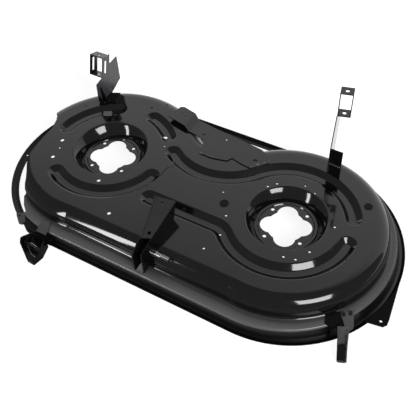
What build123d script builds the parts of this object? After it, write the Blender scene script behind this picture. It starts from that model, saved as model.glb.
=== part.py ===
from build123d import *
import math
import os

# Lawn mower deck: pressed shell, lower rim rail, welded hangers and roller brackets.
# Built about the middle of the two spindles with Z up and the rail's underside at 0;
# save() then puts the middle of the whole part over the origin.  Front is -Y.
os.makedirs("parts", exist_ok=True)

# Overall sizes
SPINDLE_X = 267.0          # half the distance between the two spindles
TOP = 102.0                # height of the flat top over the rail's underside
SHEET = 2.7                # deck sheet
SHIFT = (-6.0, 33.0, 0.0)  # from the middle of the spindles to the middle of the part

# Upper body of the shell
WALL_R = 255.0             # outside of the wall about each spindle
FRONT_SET = 2.0            # the front wall stands this far inside the lobes
WALL_FRONT = FRONT_SET - WALL_R
WALL_REAR = 146.0          # rear wall between the two lobes
SHOULDER = 36.0            # radius between flat top and wall
VALLEY = 60.0              # plan radius where the lobes meet the rear wall
FLANGE_DROP = 50.0
FLANGE_Z = TOP - FLANGE_DROP  # flat flange around the foot of the wall
FOOT_R = 8.0

# Skirt: a narrow cone under each lobe, upright along the front
FLANGE_W = 26.0            # from the wall out to the skirt
SKIRT_TOP_R = WALL_R + FLANGE_W
SKIRT_TOP_C = (SPINDLE_X - 5.0, -9.0)
SKIRT_FLARE = 6.5
SKIRT_R = SKIRT_TOP_R + SKIRT_FLARE
REAR_LEDGE = 22.0          # from the rear wall to the skirt's foot
SKIRT_REAR = WALL_REAR + REAR_LEDGE
RAIL_T = 3.0
SKIRT_Z = RAIL_T           # the skirt stands on the rail
SKIRT_EDGE_R = 5.0
BEAD_W = 4.5               # small outward bead above the rail
BEAD_Z = (6.0, 9.0)

# Rim rail: a flat strip under the skirt, dished up at its outer edge
RAIL_UNDER = 7.5           # reach inward, under the skirt's foot
RAIL_LIP = 12.0            # reach outward
RAIL_IN = SKIRT_R - RAIL_UNDER
RAIL_FLAT = SKIRT_R + 0.5
RAIL_OUT = SKIRT_R + RAIL_LIP
RAIL_RISE = 6.0

# Spindle cups
CUP_R = 102.8
CUP_FLOOR_R = 78.0
CUP_DEPTH = 33.6
CUP_RIM = 9.0
CUP_FLOOR_FILLET = 7.0
STEP_R = 71.5
STEP = 2.0
LOBE_REACH = 65.5
LOBE_R = 27.0
LOBE_ANGLE = 19.0
NECK_R = 49.0              # the opening's radius between its lobes
NECK_FILLET = 8.0
BOLT_SQUARE = 88.9
BOLT_R = BOLT_SQUARE / 2 * math.sqrt(2)
BOLT_ANGLE = 57.6
BOLT_D = 9.5

# Pressed grooves
GROOVE_R = 162.0
GROOVE_W = 44.0
GROOVE_DEPTH = 11.0
GROOVE_SLOPE = 52.0
GROOVE_FRONT_Y = -103.5
GROOVE_BACK_R = 175.0
GROOVE_START_X = -103.0    # left end of the rear groove
GROOVE_LIP_R = 6.0
GROOVE_FLOOR_R = 5.0

SIDES = (-1, 1)


def save(shape, name):
    """Move a finished piece into the part's frame, name it and write it."""
    moved = shape.moved(Location(SHIFT))
    moved.label = name
    export_step(moved, f"parts/{name}.step")
    return moved


def rim(side, *places):
    """Points about one spindle, each a distance out from the skirt's foot and an angle."""
    cx = side * SPINDLE_X
    turns = [(SKIRT_R + out, math.radians(deg)) for out, deg in places]
    return [(cx + r * math.cos(t), r * math.sin(t)) for r, t in turns]


def body_plan(inset, radius, front, rear, fillet_r):
    """Outline of two lobes with a straight front and a rear valley."""
    with BuildSketch() as sk:
        with Locations((-SPINDLE_X, 0), (SPINDLE_X, 0)):
            Circle(radius - inset)
        with Locations((0, (front + rear) / 2)):
            Rectangle(2 * SPINDLE_X, rear - front - 2 * inset)
        if fillet_r:
            corners = [v for v in sk.vertices() if v.Y > rear - inset - 1 and abs(v.X) < SPINDLE_X - 30]
            fillet(corners, fillet_r + inset)
    return sk.sketch


def skirt_lobe(side, inset):
    """One lobe of the skirt, wider at the bottom than at the flange."""
    z0 = SKIRT_Z if inset == 0 else SKIRT_Z - 4
    with BuildPart() as lobe:
        with BuildSketch(Plane.XY.offset(z0)):
            with Locations((side * SPINDLE_X, 0)):
                Circle(SKIRT_R - inset)
        with BuildSketch(Plane.XY.offset(FLANGE_Z - inset)):
            with Locations((side * SKIRT_TOP_C[0], SKIRT_TOP_C[1])):
                Circle(SKIRT_TOP_R - inset)
        loft(ruled=True)
    return lobe.part


def skirt_middle(inset):
    """The straight front of the skirt and the rear valley between the lobes."""
    z0 = SKIRT_Z if inset == 0 else SKIRT_Z - 4
    top_front = SKIRT_TOP_C[1] - SKIRT_TOP_R
    with BuildPart() as mid:
        with BuildSketch(Plane.XY.offset(z0)):
            with Locations((0, (SKIRT_REAR - SKIRT_R) / 2)):
                Rectangle(2 * SPINDLE_X, SKIRT_REAR + SKIRT_R - 2 * inset)
        with BuildSketch(Plane.XY.offset(FLANGE_Z - inset)):
            with Locations((0, (SKIRT_REAR - 6 + top_front) / 2)):
                Rectangle(2 * SKIRT_TOP_C[0], SKIRT_REAR - 6 - top_front - 2 * inset)
        loft(ruled=True)
    return mid.part


def groove_sketches(grow):
    """Plan outlines of every pressed groove, each a path given a width."""
    width = GROOVE_W + 2 * grow
    left, right = -SPINDLE_X, SPINDLE_X
    outlines = []
    for a0, a1 in ((117, 176), (43, 76), (240, 347)):
        with BuildSketch() as sk:
            with BuildLine():
                CenterArc((left, 0), GROOVE_R, a0, a1 - a0)
                offset(amount=width / 2)
            make_face()
        outlines.append(sk.sketch)
    # Front groove: straight run, then around the right lobe
    x_meet = right - math.sqrt(GROOVE_R ** 2 - GROOVE_FRONT_Y ** 2)
    a_meet = math.degrees(math.atan2(GROOVE_FRONT_Y, x_meet - right))
    with BuildSketch() as front:
        with BuildLine() as ln:
            Line((-72, GROOVE_FRONT_Y), (x_meet, GROOVE_FRONT_Y))
            CenterArc((right, 0), GROOVE_R, a_meet, -3 - a_meet)
            fillet(ln.vertices().sort_by_distance((x_meet, GROOVE_FRONT_Y))[0], 45)
            offset(amount=width / 2)
        make_face()
    outlines.append(front.sketch)
    # Rear groove: hollow curve behind the middle, then around the right lobe
    yc = math.sqrt((GROOVE_BACK_R + GROOVE_R) ** 2 - SPINDLE_X ** 2)
    a_join = math.degrees(math.atan2(-yc, SPINDLE_X))
    a_start = 360 - math.degrees(math.acos(GROOVE_START_X / GROOVE_BACK_R))
    with BuildSketch() as rear:
        with BuildLine():
            CenterArc((0, yc), GROOVE_BACK_R, a_start, 360 + a_join - a_start)
            CenterArc((right, 0), GROOVE_R, 180 + a_join, 26 - 180 - a_join)
            offset(amount=width / 2)
        make_face()
    outlines.append(rear.sketch)
    return outlines


def cup(side, grow):
    """The pressed spindle cup as a solid to take away, grown by the sheet for the underside."""
    lean = grow * 0.85
    with BuildPart() as bowl:
        with BuildSketch(Plane.XZ):
            with BuildLine():
                Polyline(
                    (0, TOP + 1),
                    (CUP_R + lean, TOP + 1),
                    (CUP_R + lean, TOP - grow * 0.9),
                    (CUP_FLOOR_R + lean, TOP - CUP_DEPTH - grow * 0.9),
                    (STEP_R + grow * 0.5, TOP - CUP_DEPTH - grow),
                    (STEP_R - 2 + grow * 0.5, TOP - CUP_DEPTH - STEP - grow),
                    (0, TOP - CUP_DEPTH - STEP - grow),
                    close=True,
                )
            make_face()
        revolve(axis=Axis.Z)
    return bowl.part.moved(Location((side * SPINDLE_X, 0, 0)))


def flat_edges(shape, z):
    """Edges that lie flat at one height."""
    return [e for e in shape.edges() if abs(e.center().Z - z) < 0.02 and e.bounding_box().size.Z < 0.02]


def pressed_form(inset):
    """The whole pressed shape; its outside with no inset, its underside with the sheet as inset."""
    base = SKIRT_Z + 20 if inset == 0 else -1
    top = TOP - inset
    with BuildPart() as form:
        with BuildSketch(Plane.XY.offset(base)):
            add(body_plan(inset, WALL_R, WALL_FRONT, WALL_REAR, VALLEY))
        extrude(amount=top - base)
        fillet(form.faces().sort_by(Axis.Z)[-1].edges(), SHOULDER - inset)
        for side in SIDES:
            add(skirt_lobe(side, inset))
        add(skirt_middle(inset))
        for outline in groove_sketches(inset * 0.33):
            with BuildSketch(Plane.XY.offset(top)):
                add(outline)
            extrude(amount=-GROOVE_DEPTH, taper=GROOVE_SLOPE, mode=Mode.SUBTRACT)
        for side in SIDES:
            add(cup(side, inset), mode=Mode.SUBTRACT)
        rims = [w.edges()[0] for w in form.faces().sort_by(Axis.Z)[-1].inner_wires() if len(w.edges()) == 1]
        fillet(rims, CUP_RIM - inset)
        fillet(flat_edges(form, top - GROOVE_DEPTH), GROOVE_FLOOR_R + inset)
        face = form.faces().sort_by(Axis.Z)[-1]
        lips = [e for w in face.inner_wires() if len(w.edges()) > 1 for e in w.edges()]
        fillet(lips, GROOVE_LIP_R - inset)
        flange = form.faces().filter_by(lambda f: abs(f.center().Z - FLANGE_Z + inset) < 0.02)
        fillet(flange.sort_by(SortBy.AREA)[-1].inner_wires()[0].edges(), FOOT_R + inset)
        flange = form.faces().filter_by(lambda f: abs(f.center().Z - FLANGE_Z + inset) < 0.02)
        fillet(flange.sort_by(SortBy.AREA)[-1].outer_wire().edges(), max(SKIRT_EDGE_R - inset, 2))
    return form.part


def slab(plane, points, thick, corner=0, holes=()):
    """Flat plate: an outline on a plane, round holes (x, y, diameter), given a thickness."""
    with BuildPart() as plate:
        with BuildSketch(plane) as sk:
            with BuildLine():
                Polyline(*points, close=True)
            make_face()
            if corner:
                fillet(sk.vertices(), corner)
            for x, y, d in holes:
                with Locations((x, y)):
                    Circle(d / 2, mode=Mode.SUBTRACT)
        extrude(amount=thick)
    return plate.part


def plan_slab(points, z, thick, corner=0, holes=()):
    """Plate lying level."""
    return slab(Plane.XY.offset(z), points, thick, corner, holes)


def side_slab(points, x, thick, corner=0, holes=()):
    """Plate standing along Y; points are (y, height over the deck top)."""
    plane = Plane(origin=(x, 0, TOP), x_dir=(0, 1, 0), z_dir=(1, 0, 0))
    return slab(plane, points, thick, corner, holes)


def front_slab(points, y, thick, corner=0, holes=()):
    """Plate standing along X; points are (x, height over the deck top); thickness goes back."""
    plane = Plane(origin=(0, y, TOP), x_dir=(1, 0, 0), z_dir=(0, -1, 0))
    return slab(plane, points, -thick, corner, holes)


# Deck shell: the outside form less the inside form, then its openings
with BuildPart() as solid_form:
    add(pressed_form(0))
    with BuildSketch(Plane.XY.offset(BEAD_Z[0])):
        add(body_plan(0, SKIRT_R + BEAD_W, -SKIRT_R - BEAD_W, SKIRT_REAR + BEAD_W, 0))
    extrude(amount=BEAD_Z[1] - BEAD_Z[0])
OUTSIDE = solid_form.part

TAPPED = [
    (89, 0, 5), (133, -65, 6), (145, -117, 6), (135, -178, 6),
    (-137, 73, 5), (-86, 36, 6), (-436, 110, 5), (-257, 192, 6), (-224, 223, 6),
    (-160, 112, 12), (145, 88, 5), (181, 70, 6), (198, 89, 6),
    (265, 115, 5), (297, 103, 5), (383, 25, 6), (360, -71, 6), (340, -106, 6), (312, -112, 6),
]
THROUGH = [(-132, -195, 10), (-408, -38, 11), (-395, -66, 6), (-390, -102, 11), (-223, -116, 10)]
DISCHARGE = [
    (-620, 75), (-545, 78), (-517, 60), (-500, 54), (-480, 30), (-466, -12), (-466, -31), (-464, -60),
    (-459, -96), (-455, -118), (-448, -138), (-439, -155), (-423, -175), (-410, -194), (-404, -212),
    (-407, -223), (-386, -248), (-366, -264), (-420, -330), (-620, -330),
]
STEP_LINE = [(-75, 16), (-83, 5), (-83, -20), (-87, -42), (-95, -74)]
PLUG_AT = [("deck_plug_middle", 110, -33, 24), ("deck_plug_rear", 431, 122, 22)]

with BuildPart() as shell:
    add(OUTSIDE)
    add(pressed_form(SHEET), mode=Mode.SUBTRACT)
    # Discharge opening, cut through top, wall and skirt
    with BuildSketch(Plane.XY.offset(-2)):
        with BuildLine():
            Polyline(*DISCHARGE, close=True)
        make_face()
    extrude(amount=TOP + 10, mode=Mode.SUBTRACT)
    # Spindle openings: four round lobes, and the bolt holes between them
    for side in SIDES:
        with BuildSketch(Plane.XY.offset(TOP - CUP_DEPTH - 10)) as clover:
            with Locations((side * SPINDLE_X, 0)):
                Circle(NECK_R)
                with PolarLocations(LOBE_REACH - LOBE_R, 4, start_angle=LOBE_ANGLE):
                    Circle(LOBE_R)
            middle = Vector(side * SPINDLE_X, 0, TOP - CUP_DEPTH - 10)
            joins = [v for v in clover.vertices() if abs((v.center() - middle).length - NECK_R) < 0.01]
            fillet(joins, NECK_FILLET)
            with Locations((side * SPINDLE_X, 0)):
                with PolarLocations(BOLT_R, 4, start_angle=BOLT_ANGLE):
                    Circle(BOLT_D / 2)
        extrude(amount=20, mode=Mode.SUBTRACT)
    # Narrow pressed step beside the left cup
    with BuildSketch(Plane.XY.offset(TOP)):
        with BuildLine():
            FilletPolyline(*STEP_LINE, radius=12)
            offset(amount=4, side=Side.BOTH)
        make_face()
    extrude(amount=-1.4, mode=Mode.SUBTRACT)
    # Holes in the top, and one in the front skirt
    with BuildSketch(Plane.XY.offset(TOP - 20)):
        for x, y, d in TAPPED + THROUGH:
            with Locations((x, y)):
                Circle(d / 2)
        for _, x, y, d in PLUG_AT:
            with Locations((x, y)):
                Circle(d / 2 - 2)
    extrude(amount=25, mode=Mode.SUBTRACT)
    with BuildSketch(Plane.XZ.offset(275)):
        with Locations((-174.5, FLANGE_Z - 8)):
            Circle(3)
    extrude(amount=20, mode=Mode.SUBTRACT)
DECK = max(shell.part.solids(), key=lambda body: body.volume)
save(DECK, "deck_shell")


def rail_profile():
    """Section of the rim rail: distance out from the spindle, height."""
    return [
        (RAIL_IN, 0), (RAIL_FLAT, 0), (RAIL_OUT, RAIL_RISE), (RAIL_OUT, RAIL_RISE + RAIL_T),
        (RAIL_FLAT, RAIL_T), (RAIL_IN, RAIL_T),
    ]


def rail_arc(side, start, sweep):
    """Rail around one spindle."""
    turn = Plane.XZ.rotated((0, 0, start)).offset(0)
    with BuildPart() as arc:
        with BuildSketch(turn):
            with BuildLine():
                Polyline(*rail_profile(), close=True)
            make_face()
        revolve(axis=Axis.Z, revolution_arc=sweep)
    return arc.part.moved(Location((side * SPINDLE_X, 0, 0)))


def rail_straight(x0, x1, rear):
    """Rail along the front or the rear."""
    sign = 1 if rear else -1
    plane = Plane(origin=(x0, 0, 0), x_dir=(0, sign, 0), z_dir=(sign, 0, 0))
    with BuildPart() as run:
        with BuildSketch(plane):
            with BuildLine():
                Polyline(*rail_profile(), close=True)
            make_face()
        extrude(amount=sign * (x1 - x0))
    return run.part


# Rim rail: one bent strip all around the deck
RAIL_HOLES = [(-547.5, -66, 6), (551.6, 51.9, 5)]
with BuildPart() as rail:
    add(rail_arc(-1, 90, 180))
    add(rail_straight(-SPINDLE_X, SPINDLE_X, False))
    add(rail_straight(-SPINDLE_X, SPINDLE_X, True))
    add(rail_arc(1, -90, 180))
    for x, y, d in RAIL_HOLES:
        with BuildSketch(Plane.XY.offset(-2)):
            with Locations((x, y)):
                Circle(d / 2)
        extrude(amount=20, mode=Mode.SUBTRACT)
RAIL = rail.part
save(RAIL, "rim_rail")


def clear(shape, *others):
    """What is left of a bracket once the parts it lies against are taken from it."""
    for other in others:
        shape = shape - other
    solids = sorted(shape.solids(), key=lambda body: -body.volume)
    return solids[0]


# Side guard plate: a flat corner lying on the lip of the rail, right side
LIP = RAIL_RISE + RAIL_T
guard = plan_slab(
    rim(1, (12, 1.7), (40, -17.8), (45, -20.2), (42, -22.1), (3.5, -26.7), (4.5, -17.9), (8, -7.8)),
    LIP, 3, holes=[(*rim(1, (29, -20.7))[0], 7)],
)
save(clear(guard, OUTSIDE), "side_guard_plate")

# Plugs in the two large holes of the top
for name, x, y, d in PLUG_AT:
    with BuildPart() as plug:
        with BuildSketch(Plane.XY.offset(TOP)):
            with Locations((x, y)):
                Circle(d / 2)
        extrude(amount=1.6)
        fillet(plug.faces().sort_by(Axis.Z)[-1].edges(), 1.0)
        with BuildSketch(Plane.XY.offset(TOP + 0.6)):
            with Locations((x, y)):
                Circle(d / 2 - 3.5)
                Circle(d / 2 - 6.5, mode=Mode.SUBTRACT)
        extrude(amount=2, mode=Mode.SUBTRACT)
        with BuildSketch(Plane.XY.offset(TOP - 6)):
            with Locations((x, y)):
                Circle(d / 2 - 2)
                Circle(d / 2 - 4, mode=Mode.SUBTRACT)
        extrude(amount=6.6)
    save(plug.part, name)

# Rear bridge plate: welded over the rear valley, its left end stepped up
BRIDGE_T = 3.0
BRIDGE_STEP = 12.0
with BuildPart() as bridge:
    with BuildSketch(Plane.XY.offset(TOP)):
        with BuildLine():
            Polyline(
                (-112, 153), (-80, 148), (-51, 140), (-42, 118), (-36, 94), (-10, 90), (10, 92), (44, 100),
                (52, 115), (80, 108), (113, 104), (130, 122), (150, 145), (138, 163), (110, 178), (60, 185),
                (-40, 195), (-104, 205), close=True,
            )
        make_face()
        for x, y, d in ((-60, 158, 10), (5, 170, 6), (112, 133, 12)):
            with Locations((x, y)):
                Circle(d / 2, mode=Mode.SUBTRACT)
    extrude(amount=BRIDGE_T)
    with BuildSketch(Plane.XZ.offset(-150)):
        with BuildLine():
            Polyline(
                (-103, TOP), (-122, TOP + BRIDGE_STEP), (-194, TOP + BRIDGE_STEP),
                (-194, TOP + BRIDGE_STEP + BRIDGE_T), (-122, TOP + BRIDGE_STEP + BRIDGE_T), (-103, TOP + BRIDGE_T),
                close=True,
            )
        make_face()
    extrude(amount=-100)
    # Outline of the stepped tab in plan
    with BuildSketch(Plane.XY.offset(TOP - 1)):
        with BuildLine():
            Polyline(
                (-184, 169), (-172, 219), (-161, 223), (-119, 213), (-104, 205), (-60, 204), (200, 204),
                (200, 80), (-60, 80), (-104, 150), (-126, 157), close=True,
            )
        make_face()
    extrude(amount=40, mode=Mode.INTERSECT)
    for x, y in ((-152, 196), (-136, 188)):
        with BuildSketch(Plane.XY.offset(TOP)):
            with Locations((x, y)):
                Circle(3)
        extrude(amount=30, mode=Mode.SUBTRACT)
save(bridge.part, "rear_bridge_plate")

# Left rear hanger: blade with the head's inner wall, bent head, foot and corner gusset
BLADE_X = -406.0
HANGER_T = 3.0
HEAD_LEAN = 18.5
HEAD_W = 43.0
HEAD_H = 61.0
HEAD_D = 32.0
HEAD_Y, HEAD_Z = 168.0, 72.0  # front foot of the head, height over the deck top
head_plane = Plane(
    origin=(BLADE_X, HEAD_Y, TOP + HEAD_Z),
    x_dir=(1, 0, 0),
    z_dir=(0, -math.cos(math.radians(HEAD_LEAN)), math.sin(math.radians(HEAD_LEAN))),
)


def lean(y, z):
    """Point of the left head, given along its depth and height, as (y, height) in the blade's plane."""
    c, q = math.cos(math.radians(HEAD_LEAN)), math.sin(math.radians(HEAD_LEAN))
    return (HEAD_Y + y * c + z * q, HEAD_Z - y * q + z * c)


with BuildPart() as blade:
    add(side_slab(
        [(134, 0), (140, 67), lean(0, 0), lean(0, HEAD_H), lean(HEAD_D - 5, HEAD_H),
         lean(HEAD_D - 1, HEAD_H + 4), lean(HEAD_D, 34), (246, 97), (244, 20), (197, 0)],
        BLADE_X, HANGER_T,
    ))
    slot_plane = Plane(origin=(BLADE_X - 1, 0, TOP), x_dir=(0, 1, 0), z_dir=(1, 0, 0))
    with BuildSketch(slot_plane):
        with BuildLine():
            Polyline(lean(9, 9), lean(9, 49), lean(20, 49), lean(20, 9), close=True)
        make_face()
    extrude(amount=HANGER_T + 2, mode=Mode.SUBTRACT)
save(blade.part, "left_hanger_blade")

with BuildPart() as head:
    with BuildSketch(head_plane):
        with BuildLine():
            Polyline(
                (0, 0), (-HEAD_W, 0), (-HEAD_W, HEAD_H), (0, HEAD_H), (0, HEAD_H - HANGER_T),
                (-HEAD_W + HANGER_T, HEAD_H - HANGER_T), (-HEAD_W + HANGER_T, HANGER_T), (0, HANGER_T), close=True,
            )
        make_face()
    extrude(amount=-HEAD_D)
    flange_plane = Plane(origin=head_plane.origin, x_dir=(1, 0, 0), z_dir=head_plane.y_dir)
    with BuildSketch(flange_plane.offset(-5)):
        with Locations((-HEAD_W / 2, HEAD_D / 2)):
            Circle(5.5)
    extrude(amount=HEAD_H + 10, mode=Mode.SUBTRACT)
    wall_plane = Plane(origin=(BLADE_X - HEAD_W - 1, 0, TOP), x_dir=(0, 1, 0), z_dir=(1, 0, 0))
    with BuildSketch(wall_plane):
        with BuildLine():
            Polyline(lean(9, 9), lean(9, 49), lean(20, 49), lean(20, 9), close=True)
        make_face()
    extrude(amount=HANGER_T + 2, mode=Mode.SUBTRACT)
save(head.part, "left_hanger_head")

foot_x = BLADE_X + HANGER_T
with BuildPart() as foot:
    add(plan_slab([(foot_x, 150), (-388, 150), (-365, 163), (-372, 184), (-376, 202), (foot_x, 190)], TOP, 4))
    add(front_slab([(foot_x, 0), (foot_x, 54), (-397, 50), (-388, 12), (-388, 0)], 150, 3))
save(foot.part, "left_hanger_foot")
with BuildPart() as gusset:
    with BuildSketch(Plane(origin=(foot_x, 135, TOP), x_dir=(0.9, 0.436, 0), z_dir=(0.436, -0.9, 0))):
        with BuildLine():
            Polyline((0, 0), (20, 0), (0, 32), close=True)
        make_face()
    extrude(amount=-3)
save(clear(gusset.part, foot.part, blade.part), "left_hanger_gusset")

# Small bent tab on the near lip of the rear left groove
with BuildPart() as tab:
    with BuildSketch(Plane.XY.offset(TOP)):
        with Locations(Location((-357, 110), 28)):
            RectangleRounded(25, 15, 2)
    extrude(amount=4)
save(tab.part, "groove_tab")

# Right rear hanger: front plate, stem behind it, head turned a little
STEM_X = 293.0
save(front_slab([(296, 0), (329, 0), (329, 83), (296, 83)], 185, 3, corner=2), "right_hanger_plate")
STEM_H = 176.0
save(side_slab([(185, 0), (190, 82), (204, STEM_H), (230, STEM_H), (222, 60), (222, 0)], STEM_X, 3),
     "right_hanger_stem")
# Its head is a strip folded to a box, turned a little, with a bore through top and bottom
R_HEAD_W, R_HEAD_D, R_HEAD_H, R_WALL, R_TURN = 32.0, 26.0, 70.0, 2.5, 15.0
r_head_plane = Plane(
    origin=(294.5, 204, TOP + STEM_H),
    x_dir=(math.cos(math.radians(R_TURN)), math.sin(math.radians(R_TURN)), 0),
    z_dir=(math.sin(math.radians(R_TURN)), -math.cos(math.radians(R_TURN)), 0),
)
with BuildPart() as r_head:
    with BuildSketch(r_head_plane):
        Rectangle(R_HEAD_W, R_HEAD_H, align=(Align.MIN, Align.MIN))
        with Locations((R_WALL, R_WALL)):
            Rectangle(R_HEAD_W - 2 * R_WALL, R_HEAD_H - 2 * R_WALL, align=(Align.MIN, Align.MIN), mode=Mode.SUBTRACT)
    extrude(amount=-R_HEAD_D)
    r_flange_plane = Plane(origin=r_head_plane.origin, x_dir=r_head_plane.x_dir, z_dir=(0, 0, 1))
    with BuildSketch(r_flange_plane.offset(-5)):
        with Locations((R_HEAD_W / 2, R_HEAD_D / 2)):
            Circle(5)
    extrude(amount=R_HEAD_H + 12, mode=Mode.SUBTRACT)
save(r_head.part, "right_hanger_head")

# Front centre hanger, folded from one plate: sloped top, flared right side, hidden left side, small foot
CHANNEL_T = 3.0
WALL_Y = WALL_FRONT
APEX = (25, WALL_Y + 135, 51)
NOSE = (25, WALL_Y + 22, 32)
HEEL = (27, WALL_Y + 127, 0)
TOE = (60, WALL_Y + 24, 0)


def facet(a, b, c, thick):
    """Three-cornered plate; its outer face turns anticlockwise, corners are (x, y, height over the top)."""
    va, vb, vc = (Vector(x, y, z + TOP) for x, y, z in (a, b, c))
    plane = Plane(origin=va, x_dir=vb - va, z_dir=(vb - va).cross(vc - va))
    corners = [plane.to_local_coords(v) for v in (va, vb, vc)]
    return slab(plane, [(v.X, v.Y) for v in corners], -thick)


slope = Vector(0, NOSE[1] - APEX[1], NOSE[2] - APEX[2])
channel_plane = Plane(origin=(*APEX[:2], TOP + APEX[2]), x_dir=(1, 0, 0), z_dir=Vector(1, 0, 0).cross(-slope))
with BuildPart() as channel:
    with BuildSketch(channel_plane):
        with BuildLine():
            Polyline((0, 0), (0, -slope.length), (-23, -slope.length - 9), (-56, -9), close=True)
        make_face()
        with Locations((-28, -20), (-13, -104)):
            Circle(4.5, mode=Mode.SUBTRACT)
    extrude(amount=-CHANNEL_T)
    add(facet(APEX, HEEL, TOE, CHANNEL_T))
    add(facet(APEX, TOE, NOSE, CHANNEL_T))
    add(plan_slab([(24, WALL_Y + 127), (54, WALL_Y + 97), (66, WALL_Y + 38), (56, WALL_Y + 38)], TOP, CHANNEL_T))
    left = Plane(origin=(-31, WALL_Y + 126, TOP), x_dir=(0.255, -0.967, 0), z_dir=(-0.967, -0.255, 0))
    with BuildSketch(left):
        with BuildLine():
            Polyline((0, -2), (0, 51), (117, 32), (117, -2), close=True)
        make_face()
    extrude(amount=-CHANNEL_T)
channel_part = clear(channel.part, OUTSIDE) & Pos(0, -200, TOP + 50) * Box(300, 300, 100)
save(channel_part, "front_hanger_channel")

RIGHT_EAR = [(28, -4), (21, 31), (-25, 20), (-27, -56), (28, -56)]
LEFT_EAR = [(28, -4), (13, 30), (5, 30), (-28, 8), (-29, -56), (28, -56)]
with BuildPart() as ears:
    for outline, x in ((RIGHT_EAR, 22), (LEFT_EAR, -3)):
        add(side_slab([(WALL_Y + y, z) for y, z in outline], x, 3))
    ramp = Plane(origin=(0, WALL_Y - 27, FLANGE_Z), x_dir=(1, 0, 0), z_dir=(0, -0.75, 0.66))
    with BuildSketch(ramp):
        with BuildLine():
            Polyline((-3, -1), (24, -1), (24, 34), (-3, 34), close=True)
        make_face()
    extrude(amount=-3)
ears_part = clear(ears.part, OUTSIDE, channel.part)
save(ears_part, "front_hanger_ears")

PIN_Y, PIN_Z, PIN_D = WALL_Y + 4, TOP + 6.0, 12.0
pin_plane = Plane(origin=(0, PIN_Y, PIN_Z), x_dir=(0, 1, 0), z_dir=(1, 0, 0))
with BuildPart() as boss:
    with BuildSketch(pin_plane.offset(25)):
        Circle(9)
    extrude(amount=21)
save(clear(boss.part, channel.part, OUTSIDE), "front_pin_boss")
with BuildPart() as pin:
    with BuildSketch(pin_plane.offset(46)):
        Circle(PIN_D / 2 + 2)
    extrude(amount=3)
    with BuildSketch(pin_plane.offset(49)):
        Circle(PIN_D / 2)
    extrude(amount=33)
    chamfer(pin.faces().sort_by(Axis.X)[-1].edges(), 1.5)
save(clear(pin.part, channel.part, OUTSIDE), "front_pin")

# Left front roller bracket
def arc_slab(cx, r0, r1, a0, a1, z, thick):
    """Plate between two radii and two angles about a point on the X axis."""
    with BuildPart() as part:
        with BuildSketch(Plane.XY.offset(z)):
            with BuildLine():
                a = CenterArc((cx, 0), r0, a0, a1 - a0)
                b = CenterArc((cx, 0), r1, a0, a1 - a0)
                Line(a @ 0, b @ 0)
                Line(a @ 1, b @ 1)
            make_face()
        extrude(amount=thick)
    return part.part


FRONT = -SKIRT_R           # line of the skirt's foot along the front
TAB_RIM = [(12.7, 240), (-7.5, 242), (6.5, 249.3), (16.5, 248.6), (21, 247), (15, 241.6)]
save(plan_slab(rim(-1, *TAB_RIM), LIP, 3, holes=[(*rim(-1, (8, 242.6))[0], 6)]), "left_bracket_tab")
with BuildPart() as stack:
    add(arc_slab(-SPINDLE_X, SKIRT_R - 3, SKIRT_R + 10, 254, 262, LIP, 34))
    for level in range(5):
        add(arc_slab(-SPINDLE_X, SKIRT_R - 3, SKIRT_R + 18, 253.5, 263, LIP + level * 7.4, 3.6))
stack_part = clear(stack.part, OUTSIDE, RAIL)
save(stack_part, "left_bracket_stack")
BOX_X = (-300, -262)
BOX_Y = FRONT - 15.5
BOX_WALL = 3.0
with BuildPart() as box:
    with BuildSketch(Plane.XY.offset(LIP + 2)) as ring:
        with Locations(((BOX_X[0] + BOX_X[1]) / 2, BOX_Y)):
            Rectangle(BOX_X[1] - BOX_X[0], 45, align=(Align.CENTER, Align.MIN))
        offset(amount=-BOX_WALL, mode=Mode.SUBTRACT)
    extrude(amount=FLANGE_Z - LIP - 5)
save(clear(box.part, OUTSIDE, RAIL, stack_part), "left_bracket_box")
PLATE = [(-303, 19.5), (-296, -15.5), (-264, -15.5), (-270, 4.5), (-283, 25.5)]
top_plate = plan_slab([(x, FRONT + y) for x, y in PLATE], FLANGE_Z, 3)
save(top_plate, "left_bracket_plate")
ARM = [(-315, -15.5), (-333, -43), (-327, -54), (-286, -80), (-264, -81), (-259, -52), (-270, -15.5)]
ARM_H = 34.0
with BuildPart() as arm:
    with BuildSketch(Plane.XY.offset(3)) as plan:
        with BuildLine():
            Polyline(*[(x, FRONT + y) for x, y in ARM], close=True)
        make_face()
        fillet(plan.vertices(), 3)
    extrude(amount=ARM_H)
    with BuildSketch(Plane.XY.offset(6)):
        add(plan.sketch)
        offset(amount=-3, mode=Mode.REPLACE)
    extrude(amount=60, mode=Mode.SUBTRACT)
    # Upper edge slopes down to the open end
    with BuildSketch(Plane.YZ.offset(-360)):
        with BuildLine():
            Polyline((FRONT - 15.5, 38), (FRONT - 37, 38), (FRONT - 82, 16), (FRONT - 82, 60), (FRONT - 15.5, 60),
                     close=True)
        make_face()
    extrude(amount=150, mode=Mode.SUBTRACT)
save(clear(arm.part, RAIL, stack_part), "left_bracket_arm")
with BuildPart() as arm_pin:
    with BuildSketch(Plane.YZ.offset(-326)):
        with Locations((FRONT - 42, 22)):
            Circle(4)
    extrude(amount=64)
save(clear(arm_pin.part, arm.part), "left_bracket_pin")

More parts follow.
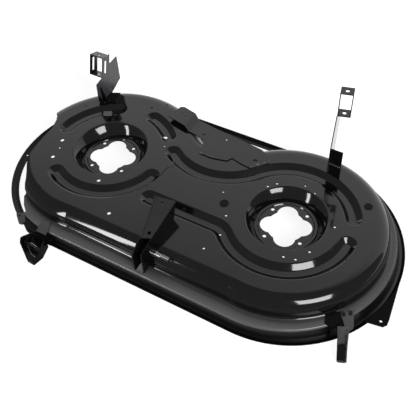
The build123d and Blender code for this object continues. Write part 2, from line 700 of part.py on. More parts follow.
# Right front roller bracket
right_plate = plan_slab(rim(1, (-18.4, -37.3), (-13.5, -30.5), (24, -36), (28, -39.1), (13, -38.9)), FLANGE_Z, 3)
save(right_plate, "right_bracket_plate")
with BuildPart() as bolts:
    for x, y in rim(1, (-15, -36.2), (-10.5, -33.1)):
        with BuildSketch(Plane.XY.offset(FLANGE_Z + 3)):
            with Locations((x, y)):
                RegularPolygon(radius=4.6, side_count=6)
        extrude(amount=3.5)
save(bolts.part, "right_bracket_bolts")
(start_x, start_y), (end_x, end_y) = rim(1, (21, -40.3), (65.8, -44))
arm_start, arm_end = Vector(start_x, start_y, 45), Vector(end_x, end_y, 6)
arm_dir = (arm_end - arm_start).normalized()
across = Vector(-arm_dir.Y, arm_dir.X, 0)
arm_plane = Plane(origin=arm_start, x_dir=arm_dir, z_dir=arm_dir.cross(across))
LENGTH = (arm_end - arm_start).length
with BuildPart() as r_arm:
    with BuildSketch(arm_plane):
        with BuildLine():
            Polyline((-14, -13), (LENGTH, -10.5), (LENGTH + 3, -7), (LENGTH + 3, 7), (LENGTH, 10.5), (-14, 13),
                     close=True)
        make_face()
    extrude(amount=3)
    for edge, start in ((-10.5, 0.35), (7.5, 0.0)):
        with BuildSketch(arm_plane.offset(3)):
            with BuildLine():
                Polyline((LENGTH * start, edge), (LENGTH, edge), (LENGTH, edge + 3), (LENGTH * start, edge + 3),
                         close=True)
            make_face()
        extrude(amount=10)
with BuildPart() as clip:
    add(plan_slab(rim(1, (-36.4, -43.2), (-24, -36.8), (0.6, -38.7), (7.4, -44.3), (-9.5, -46.6)), FLANGE_Z, 4))
    add(arc_slab(SPINDLE_X, SKIRT_R - 12.5, SKIRT_R + 8.5, -45, -37, LIP, FLANGE_Z - LIP))
clip_part = clear(clip.part, OUTSIDE, RAIL, right_plate)
save(clip_part, "right_bracket_clip")
save(clear(r_arm.part, RAIL, OUTSIDE, right_plate, clip_part), "right_bracket_arm")
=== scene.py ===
import math

import bmesh
import bpy
import numpy as np
from mathutils import Matrix, Vector
from mathutils.geometry import tessellate_polygon


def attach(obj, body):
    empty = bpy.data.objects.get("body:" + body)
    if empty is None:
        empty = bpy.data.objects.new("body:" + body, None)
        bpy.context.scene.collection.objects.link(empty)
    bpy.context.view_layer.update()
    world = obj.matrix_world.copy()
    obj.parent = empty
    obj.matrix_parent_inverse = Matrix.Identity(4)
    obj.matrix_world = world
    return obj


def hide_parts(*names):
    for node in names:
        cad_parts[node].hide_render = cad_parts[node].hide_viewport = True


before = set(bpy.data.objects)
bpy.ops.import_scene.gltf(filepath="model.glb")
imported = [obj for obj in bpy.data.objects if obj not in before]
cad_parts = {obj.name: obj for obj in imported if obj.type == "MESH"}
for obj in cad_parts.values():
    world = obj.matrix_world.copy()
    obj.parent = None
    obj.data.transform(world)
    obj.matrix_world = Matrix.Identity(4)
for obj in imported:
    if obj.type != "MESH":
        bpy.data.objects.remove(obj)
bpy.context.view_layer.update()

# Standpoint.  The deck is seen from above its front right corner, the camera held a little
# askew, as the photograph was taken.  Angles are in degrees, the lens in millimetres.
LOOK_AT = Vector((0.0595, -0.0082, 0.0684))
CAMERA_AZIMUTH = 33.48
CAMERA_ELEVATION = 49.68
CAMERA_ROLL = -4.52
CAMERA_DISTANCE = 1.6087
CAMERA_LENS = 54.02
CAMERA_SENSOR = 36


def camera_turn(azimuth, elevation, roll):
    """Camera axes as columns: back points from the target to the camera, x and y are turned
    about it by the roll."""
    a, e, r = (math.radians(v) for v in (azimuth, elevation, roll))
    back = Vector((math.sin(a) * math.cos(e), -math.cos(a) * math.cos(e), math.sin(e)))
    right = Vector((0, 0, 1)).cross(back).normalized()
    up = back.cross(right)
    x = right * math.cos(r) + up * math.sin(r)
    y = up * math.cos(r) - right * math.sin(r)
    return Matrix((x, y, back)).transposed(), back


turn, back = camera_turn(CAMERA_AZIMUTH, CAMERA_ELEVATION, CAMERA_ROLL)
camera_data = bpy.data.cameras.new("camera")
camera_data.lens = CAMERA_LENS
camera_data.sensor_width = CAMERA_SENSOR
camera = bpy.data.objects.new("camera", camera_data)
camera.matrix_world = Matrix.Translation(LOOK_AT + back * CAMERA_DISTANCE) @ turn.to_4x4()
bpy.context.collection.objects.link(camera)
bpy.context.scene.camera = camera
bpy.context.scene.view_settings.view_transform = "Standard"


# Deck shell.  One steel sheet pressed into two lobes with spindle cups and grooves.  Its gloss
# black enamel has a fine orange peel, slow waves where the sheet was drawn, and a thin haze of
# dust that dulls it.  Out on the flange a paler grey grows outwards: a painted sheen for the
# light that the flange reflects.
class Wire:
    """A shader socket that sums can be written with; numbers and other wires join in."""

    def __init__(self, shading, socket):
        self.shading = shading
        self.socket = socket

    def sum(self, operation, a, b=0.0):
        return self.shading.node("ShaderNodeMath", {"operation": operation}, {0: a, 1: b})

    def __add__(self, other):
        return self.sum("ADD", self, other)

    def __sub__(self, other):
        return self.sum("SUBTRACT", self, other)

    def __rsub__(self, other):
        return self.sum("SUBTRACT", other, self)

    def __mul__(self, other):
        return self.sum("MULTIPLY", self, other)

    def __truediv__(self, other):
        return self.sum("DIVIDE", self, other)

    def __pow__(self, other):
        return self.sum("POWER", self, other)

    def over(self, other):
        """1 where this is greater than the other, else 0."""
        return self.sum("GREATER_THAN", self, other)

    def most(self, other):
        return self.sum("MAXIMUM", self, other)

    def least(self, other):
        return self.sum("MINIMUM", self, other)

    def size(self):
        """How far this is from 0."""
        return self.sum("ABSOLUTE", self)

    __radd__ = __add__
    __rmul__ = __mul__


class Shading:
    """A tree of shader nodes and the one way to add a node to it."""

    def __init__(self, tree):
        self.tree = tree

    def node(self, kind, settings, sockets, out=0):
        """Add a node: its settings first, then the values or wires of its sockets."""
        made = self.tree.nodes.new(kind)
        stops = settings.pop("stops", None)
        for key, value in settings.items():
            setattr(made, key, value)
        if stops:
            ramp = made.color_ramp
            while len(ramp.elements) < len(stops):
                ramp.elements.new(0.5)
            for element, (at, shade) in zip(ramp.elements, stops):
                element.position = at
                element.color = (shade, shade, shade, 1)
        for key, value in sockets.items():
            if isinstance(value, Wire):
                self.tree.links.new(value.socket, made.inputs[key])
            else:
                made.inputs[key].default_value = value
        return Wire(self, made.outputs[out])

    def show(self, output, wire):
        """Lead a shader to the tree's output node."""
        self.tree.links.new(wire.socket, self.tree.nodes[output].inputs["Surface"])


class Finish(Shading):
    """A material in the making, on one Principled shader."""

    def __init__(self, name, **fixed):
        self.material = bpy.data.materials.new(name)
        self.material.use_nodes = True
        super().__init__(self.material.node_tree)
        self.shader = self.tree.nodes["Principled BSDF"]
        for socket, value in fixed.items():
            self.shader.inputs[socket.replace("_", " ")].default_value = value
        self.place = self.node("ShaderNodeTexCoord", {}, {}, "Object")

    def axis(self, number):
        """The place along X, Y or Z (0, 1 or 2)."""
        return self.node("ShaderNodeSeparateXYZ", {}, {0: self.place}, number)

    def noise(self, scale, detail, rough=0.5, stretch=None):
        """Cloudy value from 0 to 1; stretch packs it closer along the axes."""
        place = self.place
        if stretch:
            place = self.node("ShaderNodeMapping", {}, {"Vector": place, "Scale": stretch})
        sockets = {"Vector": place, "Scale": scale, "Detail": detail, "Roughness": rough}
        return self.node("ShaderNodeTexNoise", {}, sockets)

    def ramp(self, value, *stops):
        """Run through the stops, each a place and the grey there."""
        return self.node("ShaderNodeValToRGB", {"stops": stops}, {"Fac": value})

    def blend(self, mask, a, b):
        """Colour a where the mask is 0 and b where it is 1."""
        return self.node("ShaderNodeMix", {"data_type": "RGBA"}, {0: mask, 6: a, 7: b}, 2)

    def feed(self, socket, wire):
        self.tree.links.new(wire.socket, self.shader.inputs[socket])

    def bump(self, height, distance, strength=1.0):
        sockets = {"Height": height, "Distance": distance, "Strength": strength}
        self.feed("Normal", self.node("ShaderNodeBump", {}, sockets))


# The grey and share of the dust; on the deck's flange they also carry a painted sheen.
DUST_AND_SHEEN_GREY, DUST_AND_SHEEN_COVER, DUST_DULL = (0.10, 0.10, 0.10, 1), 0.10, 0.05
HAZE_SCALE, HAZE_STOPS, HAZE_SHARE = 9.0, ((0.42, 0.0), (0.75, 1.0)), 0.25
SPECK_SCALE, SPECK_EDGE, SPECK_SHARE = 900.0, 0.70, 0.5
CLOUD_SCALE, CLOUD_SPREAD = 60.0, 0.03
PEEL_SCALE, PEEL_SHARE = 420.0, 0.012
WAVE_SCALE, WAVE_HEIGHT = 7.0, 0.00025


def enamel(name, rough=0.08, dust=0.5, wave=1.0, tint=0.003, gloss=0.5, pressing=None):
    """Gloss black enamel.  The dust is a haze plus fine specks; the roughness is the base value
    plus a slow noise and a share of the dust; the height is a wide wave plus a fine orange
    peel.  A pressing changes all three over the deck's own form, and may add a painted sheen
    to the dust's grey."""
    paint = Finish(name, Specular_IOR_Level=gloss)
    haze = paint.ramp(paint.noise(HAZE_SCALE, 5.0, 0.6), *HAZE_STOPS)
    specks = paint.noise(SPECK_SCALE, 2.0).over(SPECK_EDGE)
    dust_and_sheen = haze * dust * HAZE_SHARE + specks * dust * SPECK_SHARE
    cloud = paint.noise(CLOUD_SCALE, 3.0) * CLOUD_SPREAD
    dull = cloud + (rough - CLOUD_SPREAD / 2) + dust_and_sheen * DUST_DULL
    peel = paint.noise(PEEL_SCALE, 2.0) * PEEL_SHARE
    relief = (peel + paint.noise(WAVE_SCALE, 2.0, 0.4) * wave) * WAVE_HEIGHT
    if pressing:
        dust_and_sheen, dull, relief = pressing(paint, dust_and_sheen, dull, relief)
    black = (tint, tint, tint * 1.1, 1)
    paint.feed("Base Color", paint.blend(dust_and_sheen * DUST_AND_SHEEN_COVER, black, DUST_AND_SHEEN_GREY))
    paint.feed("Roughness", dull)
    paint.bump(relief, 1.0)
    return paint.material


MIDDLE_X, SPINDLE_X, SPINDLE_Y = -0.006, 0.267, 0.033
WALL_R, FLANGE_LOW, FLANGE_HIGH = 0.254, 0.046, 0.0535
FLANGE_SHEEN, SHEEN_RISE, FLANGE_DULL, SKIRT_DULL = 8.0, 30, 0.25, 0.22
CUP_FLOOR_R, CUP_WALL_W, CUP_BULGE = 0.077, 0.029, 0.012


def deck_pressing(paint, dust_and_sheen, dull, relief):
    """On the flange, a painted sheen, a paler grey blended in as the dust is, grows with the
    distance beyond the wall, and the paint is duller there.  The skirt below it is duller.  The
    wall of each cup bulges by a parabola, w - w squared, of the way w from its floor to its rim."""
    x, y, z = (paint.axis(number) for number in range(3))
    beside = (x - MIDDLE_X).size() - SPINDLE_X
    ahead = (y - SPINDLE_Y) ** 2
    out = (beside.most(0.0) ** 2 + ahead) ** 0.5
    level = z.over(FLANGE_LOW) * (FLANGE_HIGH - z).over(0.0)
    # Painted sheen: a paler grey on the flange, rising outwards, for the light the flange
    # reflects.
    flange = paint.ramp((out - WALL_R) * SHEEN_RISE, (0.0, 0.1), (0.9, 1.0)) * level
    skirt = (FLANGE_LOW - z).over(0.0)
    reach = (beside ** 2 + ahead) ** 0.5
    way = ((reach - CUP_FLOOR_R) / CUP_WALL_W).most(0.0).least(1.0)
    return (
        dust_and_sheen + flange * FLANGE_SHEEN,
        dull + flange * FLANGE_DULL + skirt * SKIRT_DULL,
        relief + (way - way * way) * CUP_BULGE,
    )


def coat_nodes(material, *names):
    """Give CAD nodes a finish in every slot."""
    for name in names:
        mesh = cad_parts[name].data
        mesh.materials.clear()
        mesh.materials.append(material)


coat_nodes(enamel("deck_enamel", pressing=deck_pressing), "deck_shell")


# Rim rail.  A steel strip bent round the foot of the skirt, its outer edge dished up, and
# welded under it.  Its paint shines less than the shell's.
coat_nodes(enamel("rail_enamel", rough=0.12, dust=0.2, gloss=0.16), "rim_rail")


# Side guard plate.  A flat steel corner with one hole, welded on the lip of the rail.  Its
# paint is nearly dull.
guard_enamel = enamel("guard_enamel", rough=0.2, dust=0.2, wave=0.4, gloss=0.05)
coat_nodes(guard_enamel, "side_guard_plate")


# Rear bridge plate.  A flat steel plate with a stepped end, welded over the valley between
# the lobes; short runs of weld metal stand along its front edge.
DECK_TOP = 102.0
PART_SHIFT = (-6, 33, 0)
RING_SIDES, FEWEST = 12, 8
RIPPLE_PITCH, RIPPLE_SHARE = 2.5, 0.16
WELD_STEP, WELD_TAPER, WELD_LEAST = 0.8, 2.0, 0.05
BEAD_W, BEAD_H = 5.0, 2.6
BRIDGE_RUNS = [
    [(-38, 94.5), (-24, 93)], [(-18, 95), (-11, 96)], [(-7, 96.5), (6, 95.5)],
    [(110, 105), (115, 114)], [(118, 120), (128, 130)], [(132, 133.5), (140, 141)],
    [(142, 143), (148, 148)],
]


def swept(rings):
    """Skin over rings of places, an array of stations by points by 3, closed at both ends."""
    stations, points, _ = rings.shape
    i, j = np.meshgrid(np.arange(stations - 1), np.arange(points), indexing="ij")
    k = (j + 1) % points
    skin = np.stack(
        [i * points + j, i * points + k, (i + 1) * points + k, (i + 1) * points + j], -1
    )
    last = (stations - 1) * points
    ends = [list(range(points))[::-1], list(range(last, last + points))]
    return rings.reshape(-1, 3), skin.reshape(-1, 4).tolist() + ends


def drawn_out(places, step):
    """A line of places cut anew, about a step apart but never fewer than eight, each in
    proportion between the old ones.  Also gives their distances along the line."""
    places = np.array(places, float)
    legs = np.r_[0, np.cumsum(np.linalg.norm(np.diff(places, axis=0), axis=1))]
    reach = np.linspace(0, legs[-1], max(FEWEST, int(legs[-1] / step)))
    return np.stack([np.interp(reach, legs, places[:, k]) for k in range(3)], 1), reach


def ahead_of(line):
    """Unit direction of a line at each of its places."""
    ahead = np.gradient(line, axis=0)
    return ahead / np.linalg.norm(ahead, axis=1)[:, None]


def weld(places, width, height, seed=1):
    """Weld metal along a line: an oval ring whose size swells as a sine of the distance along
    the line and tapers to nothing at both ends as a square root."""
    line, reach = drawn_out(places, WELD_STEP)
    ahead = ahead_of(line)
    side = np.cross(ahead, [0, 0, 1.0])
    side /= np.maximum(np.linalg.norm(side, axis=1)[:, None], 1e-6)
    up = np.cross(side, ahead)
    swell = 1 + RIPPLE_SHARE * np.sin(2 * math.pi * reach / RIPPLE_PITCH + seed)
    taper = np.clip(np.minimum(reach, reach[-1] - reach) / WELD_TAPER, WELD_LEAST, 1) ** 0.5
    size = (swell * taper)[:, None, None]
    t = np.linspace(0, 2 * math.pi, RING_SIDES, endpoint=False)[None, :, None]
    across = np.cos(t) * side[:, None] * width / 2
    return swept(line[:, None] + size * (across + np.sin(t) * up[:, None] * height))


def formed(name, parts, material, smooth=False):
    """One object from parts whose places are millimetres from the middle of the spindles."""
    places, faces, count = [], [], 0
    for part_places, part_faces in parts:
        places.append(part_places)
        faces += [[corner + count for corner in face] for face in part_faces]
        count += len(part_places)
    data = bpy.data.meshes.new(name)
    data.from_pydata(((np.concatenate(places) + PART_SHIFT) / 1000).tolist(), [], faces)
    turning = bmesh.new()
    turning.from_mesh(data)
    bmesh.ops.recalc_face_normals(turning, faces=turning.faces)
    turning.to_mesh(data)
    turning.free()
    data.polygons.foreach_set("use_smooth", [smooth] * len(data.polygons))
    data.materials.append(material)
    piece = bpy.data.objects.new(name, data)
    bpy.context.collection.objects.link(piece)
    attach(piece, "root")
    return piece


bracket_enamel = enamel("bracket_enamel", rough=0.14, dust=0.5, wave=0.4)
weld_enamel = enamel("weld_enamel", rough=0.16, dust=1.0, tint=0.05)
coat_nodes(bracket_enamel, "rear_bridge_plate")
formed(
    "bridge_welds",
    [
        weld([(x, y, DECK_TOP + BEAD_H) for x, y in run], width=BEAD_W, height=BEAD_H, seed=k)
        for k, run in enumerate(BRIDGE_RUNS)
    ],
    weld_enamel, smooth=True,
)


# Groove tab.  A small steel tab with round corners, welded flat on the lip of the rear left
# groove.  Its enamel is made paler than the shell's, a painted highlight for the light its face
# catches.
coat_nodes(enamel("tab_painted_light_enamel", rough=0.2, tint=0.11), "groove_tab")


# Plugs.  Two stepped discs moulded in black plastic, pressed into holes of the deck's top:
# duller than the enamel, with the faint grain of the tool.
PLASTIC_SHADES, PLASTIC_SPREAD = (0.002, 0.005), 0.16
PLASTIC_CLOUD, PLASTIC_GRAIN, GRAIN_HEIGHT = 40.0, 1600.0, 0.0003


def moulded(name, rough=0.42, gloss=0.15):
    """Black plastic: its colour and its roughness follow one cloudy noise, the height is a
    fine even grain."""
    plastic = Finish(name, Specular_IOR_Level=gloss)
    cloud = plastic.noise(PLASTIC_CLOUD, 4.0)
    dark, pale = ((shade, shade, shade, 1) for shade in PLASTIC_SHADES)
    plastic.feed("Base Color", plastic.blend(cloud, dark, pale))
    plastic.feed("Roughness", cloud * PLASTIC_SPREAD + (rough - PLASTIC_SPREAD / 2))
    plastic.bump(plastic.noise(PLASTIC_GRAIN, 2.0), GRAIN_HEIGHT, 0.5)
    return plastic.material


plug_plastic = moulded("plug_plastic")
coat_nodes(plug_plastic, "deck_plug_middle", "deck_plug_rear")


# Left hanger.  A broad blade of flat steel stands on a foot with a gusset in the corner, and
# carries a folded box with a bore.  All are welded, then painted.
dark_enamel = enamel("dark_bracket_enamel", rough=0.2, dust=0.4, wave=0.4, gloss=0.25)
# The blade's enamel is paler than the shell's, a painted highlight for the lamp light its face
# catches.
coat_nodes(enamel("blade_painted_light_enamel", rough=0.2, tint=0.05), "left_hanger_blade")
coat_nodes(dark_enamel, "left_hanger_foot", "left_hanger_gusset")
coat_nodes(bracket_enamel, "left_hanger_head")


# Right hanger.  A flat bar in satin zinc stands behind a black plate and carries a folded
# black box.  A run of weld metal crosses the plate.
PLATE_WELD = [(297, 182.6, DECK_TOP + 36), (328, 182.6, DECK_TOP + 33)]
SATIN_CLOUD, SATIN_GRAIN, SATIN_HEIGHT = 55.0, 500.0, 0.0001


def satin(name, shade, rough):
    """Zinc plated sheet: its colour and its roughness follow one cloudy noise."""
    metal = Finish(name, Metallic=1.0)
    cloud = metal.noise(SATIN_CLOUD, 5.0, 0.6)
    dark, pale = ((tone, tone, tone, 1) for tone in (shade * 0.8, shade * 1.15))
    metal.feed("Base Color", metal.blend(cloud, dark, pale))
    metal.feed("Roughness", cloud * 0.15 + (rough - 0.08))
    metal.bump(metal.noise(SATIN_GRAIN, 3.0), SATIN_HEIGHT)
    return metal.material


coat_nodes(satin("hanger_zinc", shade=0.5, rough=0.3), "right_hanger_stem")
coat_nodes(dark_enamel, "right_hanger_plate")
coat_nodes(bracket_enamel, "right_hanger_head")
formed("right_plate_weld", [weld(PLATE_WELD, width=3.0, height=1.2)], weld_enamel, smooth=True)


# Front hanger.  A channel folded from 3 mm sheet: a sloping top with two holes and two upright
# sides welded to the deck.  Two ears reach down over the wall in front of it.
FOLD = 3.0
SIDE_X, SIDE_REAR, SIDE_FRONT = 25, -118.0, -231.0
TOP_REAR, TOP_FRONT = 51.0, 32.0
TOP_HOLES = [(-28, -20, 4.5), (-13, -104, 4.5)]
LEFT_FOOT, LEFT_ALONG, LEFT_LENGTH = (-31, -127, DECK_TOP), (0.255, -0.967, 0), 117
HOLE_SIDES = 24
STEEP = 0.5


def plate(outline, origin, along, across, thick, holes=()):
    """Flat plate.  The outline and round holes (a, b, radius) lie on the plane through origin
    spanned by along and across; the plate is thickened behind that plane."""
    around = np.linspace(0, 2 * math.pi, HOLE_SIDES, endpoint=False)
    rings = [np.array(outline, float)]
    rings += [np.stack([a + r * np.cos(around), b - r * np.sin(around)], 1) for a, b, r in holes]
    along, across = (np.array(v, float) / np.linalg.norm(v) for v in (along, across))
    flat = np.concatenate(rings)
    front = np.array(origin, float) + flat[:, :1] * along + flat[:, 1:] * across
    corners = [[Vector((*place, 0)) for place in ring] for ring in rings]
    cover = np.array(tessellate_polygon(corners))
    count = len(flat)
    faces = [*cover.tolist(), *(cover[:, ::-1] + count).tolist()]
    start = 0
    for ring in rings:
        a = start + np.arange(len(ring))
        b = start + (np.arange(len(ring)) + 1) % len(ring)
        faces += np.stack([a, b, b + count, a + count], 1).tolist()
        start += len(ring)
    return np.concatenate([front, front - thick * np.cross(along, across)]), faces


# A paler black than the shell's, and glossier: a painted highlight for faces that catch the
# lamps.
painted_light_enamel = enamel(
    "painted_light_bracket_enamel", rough=0.14, dust=0.5, wave=0.4, tint=0.016, gloss=0.85
)
apex = (SIDE_X, SIDE_REAR, DECK_TOP + TOP_REAR)
fall = np.array([0, SIDE_FRONT - SIDE_REAR, TOP_FRONT - TOP_REAR])
length = float(np.linalg.norm(fall))
channel_top = plate(
    [(0, 0), (0, -length), (-23, -length - 9), (-56, -9)], apex, (1, 0, 0), -fall, FOLD, TOP_HOLES
)
channel_right = plate(
    [(0, 0), (length, 0), (length - 3, -TOP_FRONT - 2), (12, -TOP_REAR - 3)],
    apex, fall, (0.09, TOP_REAR - TOP_FRONT, length), -FOLD,
)
channel_left = plate(
    [(0, -2), (0, TOP_REAR), (LEFT_LENGTH, TOP_FRONT), (LEFT_LENGTH, -2)],
    LEFT_FOOT, LEFT_ALONG, (0, 0, 1), FOLD,
)
channel = formed("front_hanger_fold", [channel_top, channel_right, channel_left], painted_light_enamel)

# The top keeps the paler paint, a painted highlight, and the upright faces, turned from the
# light, take the darker, duller paint, a painted shade
channel.data.materials.append(dark_enamel)
facing = np.zeros(len(channel.data.polygons) * 3)
channel.data.polygons.foreach_get("normal", facing)
upright = np.abs(facing[2::3]) < STEEP
channel.data.polygons.foreach_set("material_index", upright.astype(np.int32))
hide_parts("front_hanger_channel")
coat_nodes(bracket_enamel, "front_hanger_channel", "front_pin_boss")
coat_nodes(dark_enamel, "front_hanger_ears")


# Front pin.  A zinc plated steel stud pressed through its boss from the right, with a
# chamfered collar; its outer end carries a rolled thread.
PIN_AXIS = (0, -249, 108)
PIN_START, PIN_END, PIN_R, PIN_CHAMFER = 46.0, 82.0, 6.0, 1.5
COLLAR_W, COLLAR_R, COLLAR_CHAMFER = 3.0, 8.0, 0.6
THREAD_START, THREAD_PITCH, THREAD_DEPTH = 60.0, 1.75, 0.9
ZINC_CLOUD, ZINC_LINES, LINE_HEIGHT = 120.0, 300.0, 0.0002


def zinc(name, shade, rough):
    """Bright plated steel, clouded a little, with fine turning lines across X."""
    metal = Finish(name, Metallic=1.0)
    cloud = metal.noise(ZINC_CLOUD, 4.0)
    dark, pale = (shade * 0.72, shade * 0.72, shade * 0.74, 1), (shade, shade, shade * 1.02, 1)
    metal.feed("Base Color", metal.blend(cloud, dark, pale))
    lines = metal.noise(ZINC_LINES, 3.0, 0.6, stretch=(9, 1, 1))
    metal.feed("Roughness", lines * 0.14 + cloud * 0.08 + (rough - 0.1))
    metal.bump(lines, LINE_HEIGHT, 0.4)
    return metal.material


def turned(centre, axis, profile, sides=40):
    """Turned part: a circle carried along the axis, with the profile's (place along the axis,
    radius) pairs."""
    axis = np.array(axis, float) / np.linalg.norm(axis)
    side = np.cross(axis, [0.31, 0.22, 0.9])
    side /= np.linalg.norm(side)
    t = np.linspace(0, 2 * math.pi, sides, endpoint=False)[None, :, None]
    along, radius = (np.array(v, float)[:, None, None] for v in zip(*profile))
    circle = np.cos(t) * side + np.sin(t) * np.cross(axis, side)
    return swept(np.array(centre, float) + along * axis + radius * circle)


crests = np.arange(THREAD_START, PIN_END - PIN_CHAMFER - 0.1, THREAD_PITCH)
thread = [
    row for x in crests for row in ((x, PIN_R), (x + THREAD_PITCH / 2, PIN_R - THREAD_DEPTH))
]
collar = [
    (PIN_START, COLLAR_R - COLLAR_CHAMFER), (PIN_START + COLLAR_CHAMFER, COLLAR_R),
    (PIN_START + COLLAR_W - COLLAR_CHAMFER, COLLAR_R),
    (PIN_START + COLLAR_W, COLLAR_R - COLLAR_CHAMFER), (PIN_START + COLLAR_W, PIN_R),
]
tip = [(PIN_END - PIN_CHAMFER, PIN_R), (PIN_END, PIN_R - PIN_CHAMFER)]
pin = formed(
    "front_pin_turned", [turned(PIN_AXIS, (1, 0, 0), [*collar, *thread, *tip])],
    zinc("pin_zinc", shade=0.34, rough=0.34),
)
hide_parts("front_pin")


# Left bracket.  A steel tab, plate and box are welded to the skirt beside a ribbed stack of
# black plastic.  The arm hangs on a short pin, and a bright spring wire is bent around it.
SPRING_R = 1.4
SPRING_LINE = [
    (-276, -332, 33), (-300, -329, 31), (-318, -331, 14), (-304, -338, 9), (-288, -348, 9),
    (-274, -350, 9),
]
SPRING_STEP, SPRING_EASINGS = 1.09, 12


def wire(places, radius):
    """Round wire: a circle carried along a line of places, whose bends are eased by taking
    the mean of each place and its neighbours again and again."""
    line, _ = drawn_out(places, SPRING_STEP)
    for _ in range(SPRING_EASINGS):
        line[1:-1] = (line[:-2] + line[1:-1] + line[2:]) / 3
    ahead = ahead_of(line)
    side = np.cross(ahead, [0.1, 0.2, 1.0])
    side /= np.linalg.norm(side, axis=1)[:, None]
    t = np.linspace(0, 2 * math.pi, RING_SIDES, endpoint=False)[None, :, None]
    circle = np.cos(t) * side[:, None] + np.sin(t) * np.cross(side, ahead)[:, None]
    return swept(line[:, None] + radius * circle)


# The tab and plate take the paler enamel, a painted highlight.
coat_nodes(painted_light_enamel, "left_bracket_tab", "left_bracket_plate")
coat_nodes(dark_enamel, "left_bracket_box", "left_bracket_arm", "left_bracket_pin")
coat_nodes(plug_plastic, "left_bracket_stack")
formed(
    "left_arm_wire", [wire(SPRING_LINE, SPRING_R)], zinc("wire_zinc", shade=0.5, rough=0.3),
    smooth=True,
)


# Right bracket.  A painted steel plate is bolted down beside a black clip and holds the arm.  A
# thin dull black sheet lies on the outer face of the arm's lower end, a painted shade where that
# face reads darker.
SHADE_SHEET_T = 1.5
SHADE_SHEET_OUTLINE = [(0.0, 0.0), (18.6, 0.0), (18.1, -34.0), (1.6, -33.8)]
SHADE_SHEET_CORNER = (501.8, -230.5, 41.0)
SHADE_SHEET_ALONG, SHADE_SHEET_UP = (0.932, 0.363, -0.009), (-0.281, 0.738, 0.614)
# The arm and plate take the paler enamel, a painted highlight.
coat_nodes(painted_light_enamel, "right_bracket_arm", "right_bracket_plate")
coat_nodes(dark_enamel, "right_bracket_bolts")
coat_nodes(guard_enamel, "right_bracket_clip")
# Painted shade: a thin dull black sheet over the lower end of the arm's outer face.
formed(
    "right_arm_painted_shade", [plate(SHADE_SHEET_OUTLINE, SHADE_SHEET_CORNER, SHADE_SHEET_ALONG, SHADE_SHEET_UP, SHADE_SHEET_T)],
    moulded("painted_shade_plastic", rough=0.3, gloss=0.02),
)


# Floor and backdrop.  A pale floor and a tall white sheet behind it, as in a photographer's
# studio; both show white to the camera, the sheet to the gloss of the paint as well.
FLOOR_REACH, FLOOR_SINK = 6.0, 0.0005
SHEET_FOOT, SHEET_AWAY, SHEET_BEND, SHEET_TOP = 0.36, 4.0, 0.8, 11.0
SHEET_LEFT, SHEET_RIGHT, FLOOR_RIGHT, BEND_STEPS = -9.0, 5.0, 9.0, 13
SHEET_FADE, FADE_LEAVES = (4.6, 10.5), 0.25


def paper(name, shade, glow, fade=None):
    """Matt paper of one shade which adds its own white where the camera meets it.  With a fade
    the gloss of the paint meets it as well, less and less between those two heights."""
    sheet = Finish(name, Roughness=0.9, Specular_IOR_Level=0.0)
    sheet.shader.inputs["Base Color"].default_value = (shade, shade, shade, 1)
    seen = sheet.node("ShaderNodeLightPath", {}, {}, "Is Camera Ray")
    seen = seen.most(sheet.node("ShaderNodeLightPath", {}, {}, "Is Transmission Ray"))
    if fade:
        rise = (sheet.axis(2) - fade[0]) / (fade[1] - fade[0])
        left = sheet.ramp(rise, (0.0, 1.0), (1.0, FADE_LEAVES))
        seen = seen.most(sheet.node("ShaderNodeLightPath", {}, {}, "Is Glossy Ray") * left)
    white = sheet.node("ShaderNodeEmission", {}, {"Color": (1, 1, 1, 1), "Strength": glow})
    matt = Wire(sheet, sheet.shader.outputs[0])
    both = sheet.node("ShaderNodeAddShader", {}, {0: white, 1: matt})
    shown = sheet.node("ShaderNodeMixShader", {}, {0: seen, 1: matt, 2: both})
    sheet.show("Material Output", shown)
    return sheet.material


def staged_sheet(name, profile, left, right, material):
    """Sheet drawn along X from left to right, its section given as (y, z) places."""
    y, z = np.array(profile, float).T
    count = len(y)
    places = np.stack([np.repeat([left, right], count), np.tile(y, 2), np.tile(z, 2)], 1)
    a = np.arange(count - 1)
    faces = np.stack([a, a + count, a + count + 1, a + 1], 1)
    data = bpy.data.meshes.new(name)
    data.from_pydata(places.tolist(), [], faces.tolist())
    data.materials.append(material)
    sheet = bpy.data.objects.new(name, data)
    bpy.context.collection.objects.link(sheet)


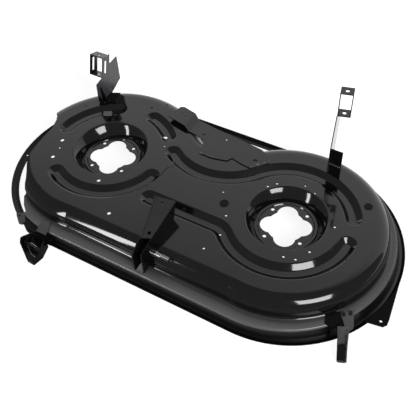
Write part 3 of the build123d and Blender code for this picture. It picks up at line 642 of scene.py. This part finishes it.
staged_sheet(
    "floor", [(-FLOOR_REACH, -FLOOR_SINK), (FLOOR_REACH, -FLOOR_SINK)], SHEET_LEFT, FLOOR_RIGHT,
    paper("floor_paper", shade=0.24, glow=0.88),
)
sweep = [
    (SHEET_AWAY - SHEET_BEND + SHEET_BEND * math.sin(t), SHEET_BEND * (1 - math.cos(t)))
    for t in np.linspace(0, math.pi / 2, BEND_STEPS)
]
staged_sheet(
    "backdrop", [(SHEET_FOOT, 0.0), *sweep, (SHEET_AWAY, SHEET_TOP)], SHEET_LEFT, SHEET_RIGHT,
    paper("backdrop_paper", shade=0.5, glow=1.0, fade=SHEET_FADE),
)


# Room.  White to the camera, and a plain grey to everything that the deck reflects.
ROOM_GREY = (0.25, 0.25, 0.255, 1)
world = bpy.data.worlds.new("studio")
bpy.context.scene.world = world
world.use_nodes = True
room = Shading(world.node_tree)
blank = room.tree.nodes["Background"]
blank.inputs["Color"].default_value = (1, 1, 1, 1)
grey = room.node("ShaderNodeBackground", {}, {"Color": ROOM_GREY})
seen = room.node("ShaderNodeLightPath", {}, {}, "Is Camera Ray")
swap = room.node("ShaderNodeMixShader", {}, {0: seen, 1: grey, 2: Wire(room, blank.outputs[0])})
room.show("World Output", swap)


# Lamps.  A tall narrow soft box at the front left draws the long light lines on the front of
# the deck; a square one high at the right lights the inside of the cups.
LAMP_AIM = Vector((0, 0, 0.08))
LAMP_DISTANCE = 3.0


def soft_box(name, azimuth, elevation, width, height, radiance, lean):
    """Area lamp facing the deck, at an azimuth clockwise from the rear and an elevation, and
    turned about its own axis by the lean; its power is pi times radiance times area."""
    a, e = math.radians(azimuth), math.radians(elevation)
    away = Vector((math.sin(a) * math.cos(e), math.cos(a) * math.cos(e), math.sin(e)))
    data = bpy.data.lights.new(name, "AREA")
    data.shape = "RECTANGLE"
    data.size = width
    data.size_y = height
    data.energy = radiance * math.pi * width * height
    lamp = bpy.data.objects.new(name, data)
    spin = Matrix.Rotation(math.radians(lean), 4, "Z")
    facing = away.to_track_quat("Z", "Y").to_matrix().to_4x4() @ spin
    lamp.matrix_world = Matrix.Translation(LAMP_AIM + away * LAMP_DISTANCE) @ facing
    bpy.context.collection.objects.link(lamp)


soft_box("strip_lamp", azimuth=-151, elevation=20, width=0.38, height=1.9, radiance=17.0, lean=-2)
soft_box("box_lamp", azimuth=120, elevation=39, width=1.3, height=1.3, radiance=14.0, lean=-12)
